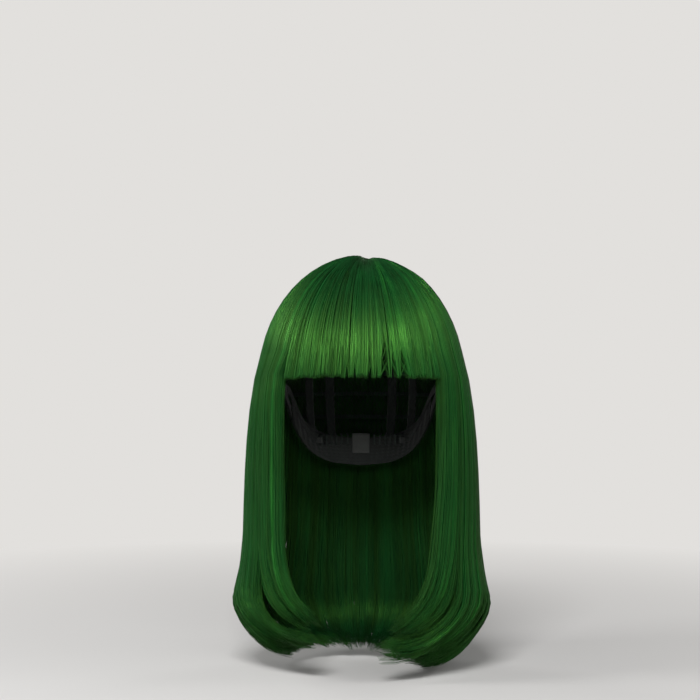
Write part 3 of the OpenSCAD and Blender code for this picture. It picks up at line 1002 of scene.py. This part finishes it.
def part_fringe(place, height):
    """Pushes the strands apart at the gaps, as narrow wedges that open downwards."""
    shifted = place
    for middle, half, top in FRINGE_GAPS:
        wide = half * np.clip((top * MM - height) / (top * MM - FRINGE_Z), 0, 1) ** 0.9
        away = place - middle
        shifted = shifted + np.sign(away) * wide * np.exp(-np.abs(away) / (half * 1.6))
    return shifted


def fringe(name, ranks, *nodes):
    """A layer of the fringe: it fans down the front of the dome to a straight cut."""
    count = FRINGE_STRANDS
    strands = Locks(count, FRINGE_LOCKS, ranks)
    start = root_angles(strands, front_rows(mix(-FRINGE_TURN, FRINGE_TURN, strands.place)))[:, None]
    cut = FRINGE_Z + 1.6 * MM + 0.6 * MM * strands.length + 0.7 * MM * strands.own[2]
    cut = cut - 2.2 * MM * np.abs(strands.centre * 2 - 1) ** 3
    end = np.arcsin(cut[:, None] / (HAIR_TOP - strands.depth[:, None]))
    along = np.append(np.linspace(0, LAST_RING, FRINGE_STEPS), 1) + np.zeros((count, 1))
    angle = mix(start, end, along)
    run = (start - angle) * HAIR_TOP
    height = HAIR_TOP * np.sin(angle)
    place, depth = strands.gathered(0.16 + 0.10 * smooth((48 * MM - height) / (44 * MM)))
    low = smooth((50 * MM - height) / (42 * MM))
    sway = 0.004 * np.sin(height / (16 * MM) + 6.3 * strands.phase[:, None])
    place = part_fringe(place + (sway + 0.005 * strands.own[4][:, None]) * low, height)
    turn = mix(-FRINGE_TURN, FRINGE_TURN, place)
    z = (HAIR_TOP - depth) * np.sin(angle)
    centre = rise_from_root(strands, shell_point(turn, angle, z, depth), turn, start, run)
    centre = shape_parting(centre, np.abs(np.cos(angle)))
    piece = strand_piece(name, nodes, strands, centre, along, blunt=0.9, taper=0.04)
    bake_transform(piece)


def long_paths(strands, turns, rows, ends, steps, flip=1):
    """Paths of strands that fall to the shoulders and turn in.

    turns(place, z) gives the turn. ends holds each strand's curl: the height where it begins,
    its length, its angle, how it grows, and where on the middle plane it aims. steps counts the
    rings over the dome, down the straight part and round the curl.
    """
    begin, curled, swing, growth, aim = (np.broadcast_to(c, strands.count)[:, None] for c in ends)
    depth = strands.depth[:, None]
    start = root_angles(strands, rows(turns(strands.place, HAIR_TOP)))[:, None]
    dome_end = np.arcsin(SWING_Z / (HAIR_TOP - depth))
    lengths = ((start - dome_end) * HAIR_TOP, SWING_Z - begin, curled)
    stage = np.interp(np.arange(sum(steps)), np.cumsum((0, *steps)), (0, 1, 2, 2 + LAST_RING))
    stage = np.append(stage, 3)
    zero = np.zeros((strands.count, 1))
    over, drop, bent = (np.clip(stage - k, 0, 1) + zero for k in range(3))
    run = over * lengths[0] + drop * lengths[1] + bent * lengths[2]
    angle = start - over * (start - dome_end)
    heading = swing * bent**growth
    step = np.diff(bent * lengths[2], axis=1)
    middle = (heading[:, 1:] + heading[:, :-1]) / 2
    sunk = np.concatenate([zero, np.cumsum(step * np.cos(middle), axis=1)], axis=1)
    swept = np.concatenate([zero, np.cumsum(step * np.sin(middle), axis=1)], axis=1)
    below = SWING_Z - drop * lengths[1] - sunk

    def height(depth):
        return np.where(over < 1, (HAIR_TOP - depth) * np.sin(angle), below)

    hang = height(depth)
    pull = 0.10 * smooth(over) + 0.12 * smooth((-hang - 60 * MM) / (110 * MM)) + 0.42 * smooth(bent)
    place, depth = strands.gathered(pull * mix(1, 0.08, smooth(strands.rank * 2.4 - 0.6))[:, None])
    z = height(depth)
    turn = turns(place, z)
    reach = np.maximum(side_reach(z, depth), 60 * MM)
    low = smooth(-z / (60 * MM))
    wave = 0.5 * MM * np.sin(z / (23 * MM) + 6.3 * strands.phase[:, None])
    wave = wave + 0.25 * MM * np.sin(z / (11 * MM) + 6 * strands.own[3][:, None])
    wave = wave + 1.1 * MM * strands.own[4][:, None] * low * (0.4 + bent)
    turn = turn + np.degrees(wave * low / reach)
    centre = rise_from_root(strands, shell_point(turn, angle, z, depth), turn, start, run)
    toward = unit(np.stack([0 * z, aim + 0 * z, 0 * z], -1) - centre * np.array([1, 1, 0]))
    centre = (centre + toward * swept[..., None]) * np.array([flip, 1, 1])
    share = np.where(over < 1, np.abs(np.cos(angle)), 1)
    return shape_parting(centre, share), run / run[:, -1:]


# Each curl is (height where it begins, length, angle, growth), in millimetres and degrees
CURL_UNITS = np.array([[MM], [MM], [math.pi / 180], [1]])


def varied_curls(strands, curl):
    """Each strand's beginning, length, angle and growth, from the curl at its place."""
    begin, length, swing, growth = curl * CURL_UNITS
    begin = begin + 2 * MM * strands.length - 2.5 * MM * strands.rank
    length = length * (1 - 0.08 * np.abs(strands.own[0]) + 0.04 * strands.length)
    swing = swing * (1 + 0.04 * strands.bend + 0.03 * strands.own[4])
    return begin, length, swing, growth


class SideShape:
    """How one side's hair frames the face and turns in. Heights and lengths are metres."""

    def __init__(self, face_half_w, sweep, upper, lower, outer):
        self.face_half_w = face_half_w
        self.sweep = sweep
        self.upper, self.lower, self.outer = np.array([upper, lower, outer])

    def turns(self, place, z):
        """The turn of a strand in the side hair, which narrows the face opening lower down."""
        edge = self.face_half_w - self.sweep * smooth((-z - 62 * MM) / (104 * MM))
        beside = np.degrees(np.arcsin(np.clip(edge / side_reach(z, 0), -1, 1)))
        first = mix(SIDE_TURNS[0], beside, smooth((SWING_Z - z) / (30 * MM)))
        return mix(first, SIDE_TURNS[1], place)

    def ends(self, strands):
        """Each strand's curl: an upper sheaf at the face, a lower one beside it, then the roll."""
        at = strands.centre
        first = smooth((at - 0.13) / 0.09)[:, None]
        second = smooth((at - 0.34) / 0.24)[:, None]
        curl = mix(mix(self.upper, self.lower, first), self.outer, second)
        aim = mix(-74 * MM, BACK_AIM, smooth((at - 0.22) / 0.75))
        return *varied_curls(strands, curl.T), aim


LEFT_SHAPE = SideShape(
    65 * MM, 7 * MM, (-127, 84, 66, 1.5), (-158, 106, 113, 1.15), (-188, 76, 100, 1.1)
)
RIGHT_SHAPE = SideShape(
    68.5 * MM, 1 * MM, (-120, 82, 62, 1.5), (-158, 84, 102, 1.15), (-185, 64, 95, 1.1)
)


def side_layer(side, shape, flip, name, ranks, *nodes):
    """One layer of one side's hair, from the crown to the turned-in ends."""
    strands = Locks(LAYER_STRANDS[ranks], SIDE_LOCKS, ranks)
    steps = LAYER_STEPS[ranks]
    paths = long_paths(strands, shape.turns, side_rows, shape.ends(strands), steps, flip)
    piece = strand_piece(f"{name}_strands_{side}", nodes, strands, *paths)
    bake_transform(piece)


def back_layer(name, ranks, *nodes):
    """One layer of the back hair, which rolls under all along its lower edge."""
    strands = Locks(LAYER_STRANDS[ranks], BACK_LOCKS, ranks)
    curl = mix(LEFT_SHAPE.outer[:, None], RIGHT_SHAPE.outer[:, None], strands.centre)
    ends = (*varied_curls(strands, curl), BACK_AIM)
    paths = long_paths(strands, back_turns, back_rows, ends, LAYER_STEPS[ranks])
    piece = strand_piece(name, nodes, strands, *paths)
    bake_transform(piece)


def weft_hair():
    """The short ends that lie on the net just under every weft."""
    roots = []
    for u0, u1, low in ALL_WEFTS:
        count = int(abs(u1 - u0) / 0.55)
        u = mix(u0, u1, (np.arange(count) + RANDOM.uniform(0.2, 0.8, count)) / count)
        roots.append(np.stack([u, low(u)], -1))
    u, e = np.concatenate(roots).T[..., None]
    count = len(u)
    along = np.linspace(0, 1, 5)
    length = np.degrees(RANDOM.uniform(8, 15, (count, 1)) * MM / HEAD_H)
    lean = RANDOM.normal(0, 1.3, (count, 1))
    lift = RANDOM.uniform(0.2, 1.6, (count, 1)) * MM
    low_edge = edge_elevation(u) + 0.6
    drop = np.maximum(e - length * along, np.minimum(low_edge, e))
    centre = cap(u + lean * along, drop, WEFT_MID + lift * along)
    radius = 0.24 * MM * mix(1, 0.4, along)
    piece = closed_tubes("weft_hair", centre, radius, unit(centre), flat=1.3)
    tone = 0.34 + 0.12 * RANDOM.normal(0, 1, (count, 1)) + 0 * along
    set_tones(piece, tone)
    dress(piece, HAIR, "hair", "root")


# -- The model --

HAIR = hair_material()
CLOTH = cloth_material("cap_cloth", (0.006, 0.009, 0.008), (0.030, 0.042, 0.036))
ELASTIC = cloth_material("ribbed_elastic", (0.008, 0.010, 0.009), (0.045, 0.055, 0.050), 800)
LACE = cloth_material("parting_lace", (0.16, 0.10, 0.065), (0.42, 0.29, 0.20), 1200)
SATIN = cloth_material("label_satin", (0.055, 0.060, 0.056), (0.12, 0.13, 0.12), 1400, (0.38, 0.55))
NET = thread_material("net_nylon", (0.006, 0.010, 0.008), (0.022, 0.034, 0.026))
WEFT = thread_material("weft_cord", (0.002, 0.018, 0.007), (0.006, 0.050, 0.016), (0.6, 0.8))
THREAD = thread_material("sewing_thread", (0.008, 0.014, 0.011), (0.040, 0.060, 0.048))
PLASTIC = plastic_material()

bands_and_tapes()
parting_strip()
crown_patch()
crown_net()
wefts()
ear_tabs()
hook_loops()
adjusters()
blank_label()
plastic_parts()
dress(sewing("cap_stitches", SEAMS), THREAD, "band", "root")

weft_hair()
fringe("fringe_strands", OUTER, "fringe_hair")
fringe("fringe_under_strands", INNER, "top_hair_left", "top_hair_right")
for (side, flip), shape in zip(SIDES, (LEFT_SHAPE, RIGHT_SHAPE)):
    side_layer(side, shape, flip, "side", OUTER, f"side_hair_{side}")
    side_layer(side, shape, flip, "side_under", INNER, f"crown_hair_{side}")
back_layer("back_strands", OUTER, "back_hair")
back_layer("back_under_strands", INNER, "crown_hair_back")


# -- Floor, lights and camera --

FLOOR_GAP = 1 * MM
FLOOR_R = 9.0
FLOOR_NEAR = 0.3
FLOOR_FAR = 1
FLOOR_TONE = 0.6
BACKDROP = (0.76, 0.745, 0.723)
WORLD_GLOW = 0.26
LIGHT_AIM = (0, 0, 20 * MM)
FRAME_W = 0.595


def paper_material():
    """Pale studio paper that meets the backdrop's colour evenly in the distance."""
    material, tree, shader = new_material("studio_paper")
    place = object_place(tree)
    pale = (FLOOR_TONE, FLOOR_TONE * 0.985, FLOOR_TONE * 0.97)
    stops = [(0.3, tuple(c * 0.985 for c in pale)), (0.7, pale)]
    colour = colour_ramp(tree, noise(tree, place, 3, 2), stops)
    set_inputs(tree, shader, {"Base Color": colour, "Roughness": 0.95, "Specular IOR Level": 0.1})
    glow = add_node(tree, "Emission", {"Color": (*BACKDROP, 1)}).outputs["Emission"]
    away = add_node(tree, "VectorMath", {0: place}, operation="LENGTH").outputs["Value"]
    far = value_map(tree, away, FLOOR_NEAR, FLOOR_FAR, 0, 1)
    seen = add_node(tree, "LightPath").outputs["Is Camera Ray"]
    share = maths(tree, "MULTIPLY", far, seen)
    parts = {0: share, 1: shader.outputs["BSDF"], 2: glow}
    both = add_node(tree, "MixShader", parts).outputs["Shader"]
    tree.links.new(both, tree.nodes["Material Output"].inputs["Surface"])
    return material


def studio_floor():
    angle = np.linspace(0, 2 * math.pi, 65)[:-1]
    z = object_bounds()[0].z - FLOOR_GAP
    rim = np.stack([FLOOR_R * np.cos(angle), FLOOR_R * np.sin(angle), z + 0 * angle], -1)
    mesh = bpy.data.meshes.new("studio_floor")
    mesh.from_pydata(rim.tolist(), [], [range(len(rim))])
    floor = bpy.data.objects.new("studio_floor", mesh)
    bpy.context.scene.collection.objects.link(floor)
    mesh.materials.append(paper_material())
    floor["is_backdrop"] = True


def look_at(thing, aim):
    away = thing.location - Vector(aim)
    thing.rotation_euler = away.to_track_quat("Z", "Y").to_euler()


def soft_light(name, place, size, power):
    data = bpy.data.lights.new(name, "AREA")
    data.shape = "RECTANGLE"
    data.size, data.size_y = size
    data.energy = power
    lamp = bpy.data.objects.new(name, data)
    lamp.location = place
    lamp.visible_camera = False
    look_at(lamp, LIGHT_AIM)
    bpy.context.scene.collection.objects.link(lamp)


def studio_world():
    """A pale backdrop to the camera, and a dim glow on the object that fades out overhead."""
    world = bpy.data.worlds.new("studio")
    bpy.context.scene.world = world
    world.use_nodes = True
    tree = world.node_tree
    seen = add_node(tree, "LightPath").outputs["Is Camera Ray"]
    place = add_node(tree, "TexCoord").outputs["Generated"]
    up = add_node(tree, "SeparateXYZ", {"Vector": place}).outputs["Z"]
    fade = value_map(tree, up, 0, 0.8, WORLD_GLOW, WORLD_GLOW * 0.12)
    strength = maths(tree, "MAXIMUM", seen, fade)
    glow = tree.nodes["Background"]
    glow.inputs["Color"].default_value = (*BACKDROP, 1)
    tree.links.new(strength, glow.inputs["Strength"])


def studio_lights():
    soft_light("key", (-0.2, -1.3, 0.93), (0.6, 0.22), 27)
    soft_light("front_fill", (0.1, -1.3, 0.45), (1.0, 0.25), 4)
    soft_light("rim_right", (-1.3, -0.35, 0.8), (0.5, 0.6), 9)
    soft_light("rim_left", (1.35, -0.2, 0.75), (0.5, 0.8), 2.5)
    soft_light("back_right", (-1.15, 1.2, 0.25), (0.5, 0.6), 9)
    soft_light("back_left", (1.15, 1.2, 0.25), (0.5, 0.6), 7)


def studio_camera():
    """Straight on, at the height of the fringe, as the picture was taken."""
    data = bpy.data.cameras.new("camera")
    data.lens = 85
    data.sensor_width = 36
    camera = bpy.data.objects.new("camera", data)
    distance = FRAME_W * data.lens / data.sensor_width
    centre = Vector((-9.8 * MM, 0, 30 * MM))
    camera.location = centre - Vector((0, distance, 0))
    look_at(camera, centre)
    bpy.context.scene.collection.objects.link(camera)
    bpy.context.scene.camera = camera


studio_floor()
studio_world()
studio_lights()
studio_camera()
bpy.context.scene.view_settings.view_transform = "Standard"
